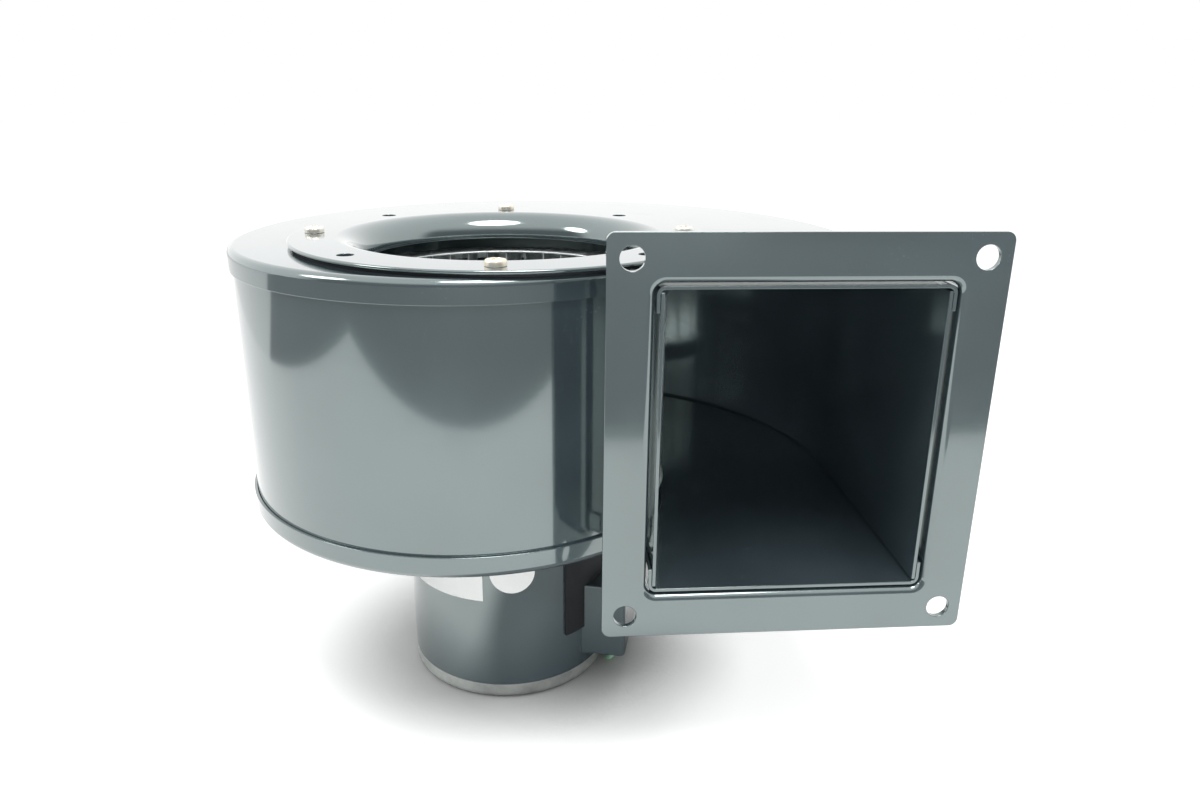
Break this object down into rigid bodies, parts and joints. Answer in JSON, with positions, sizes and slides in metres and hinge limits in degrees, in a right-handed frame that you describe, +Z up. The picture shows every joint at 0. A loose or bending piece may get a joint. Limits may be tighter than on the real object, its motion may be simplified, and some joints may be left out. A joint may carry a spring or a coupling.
{
  "type": "dc blower fan",
  "caption": "Centrifugal blower with a sheet scroll housing, bell-mouthed inlet ring, flanged rectangular outlet and a brushed direct-current motor standing under the scroll.",
  "frame": {"origin": "the shaft's axis at the flat face of the motor's end cap, on which the fan stands", "axes": "+Z runs up the shaft towards the inlet, -Y is the way that air leaves the outlet, and +X points to the duct's side"},
  "size_m": [0.2676, 0.2324, 0.2027],
  "materials": {
    "black_enamel": "gloss",
    "rubber": "matte",
    "yellow_zinc": "plated",
    "galvanised_steel": "satin",
    "turned_aluminium": "turned",
    "bright_steel": "satin",
    "core_steel": "varnished",
    "copper": "satin",
    "cast_alloy": "cast",
    "zinc_plate": "plated",
    "bronze": "sintered",
    "ferrite": "matte",
    "laminate": "matte",
    "brass": "satin",
    "carbon": "matte",
    "moulded_block": "matte",
    "green_insulation": "satin"
  },
  "bodies": {
    "housing": {"scroll_wrap": "black_enamel", "inlet_side_plate": "black_enamel", "motor_side_plate": "black_enamel", "outlet_flange": "black_enamel", "inlet_ring": "black_enamel", "inlet_ring_gasket": "rubber", "inlet_ring_screws": "yellow_zinc", "motor_shell": "black_enamel", "drive_end_bell": "cast_alloy", "rear_end_cap": "zinc_plate", "drive_end_bush": "bronze", "rear_bush": "bronze", "field_magnets": "ferrite", "brush_card": "laminate", "brush_holders": "brass", "carbon_brushes": "carbon", "brush_springs": "bright_steel", "through_bolts": "bright_steel", "motor_mount_screws": "bright_steel", "terminal_box": "black_enamel", "terminal_box_screws": "bright_steel", "terminal_block": "moulded_block", "shell_grommet": "rubber", "lead_grommet": "rubber", "lead_pair": "green_insulation", "lead_coil": "green_insulation"},
    "rotor": {"wheel_blades": "galvanised_steel", "wheel_rim": "galvanised_steel", "wheel_back_plate": "galvanised_steel", "wheel_hub": "turned_aluminium", "hub_set_screw": "bright_steel", "motor_shaft": "bright_steel", "armature_core": "core_steel", "armature_windings": "copper", "commutator": "copper", "thrust_rings": "bright_steel"}
  },
  "joints": [
    {"name": "shaft_spin", "type": "hinge", "parent": "housing", "child": "rotor", "pos_m": [0, 0, 0.1], "axis": [0, 0, 1], "continuous": true}
  ]
}
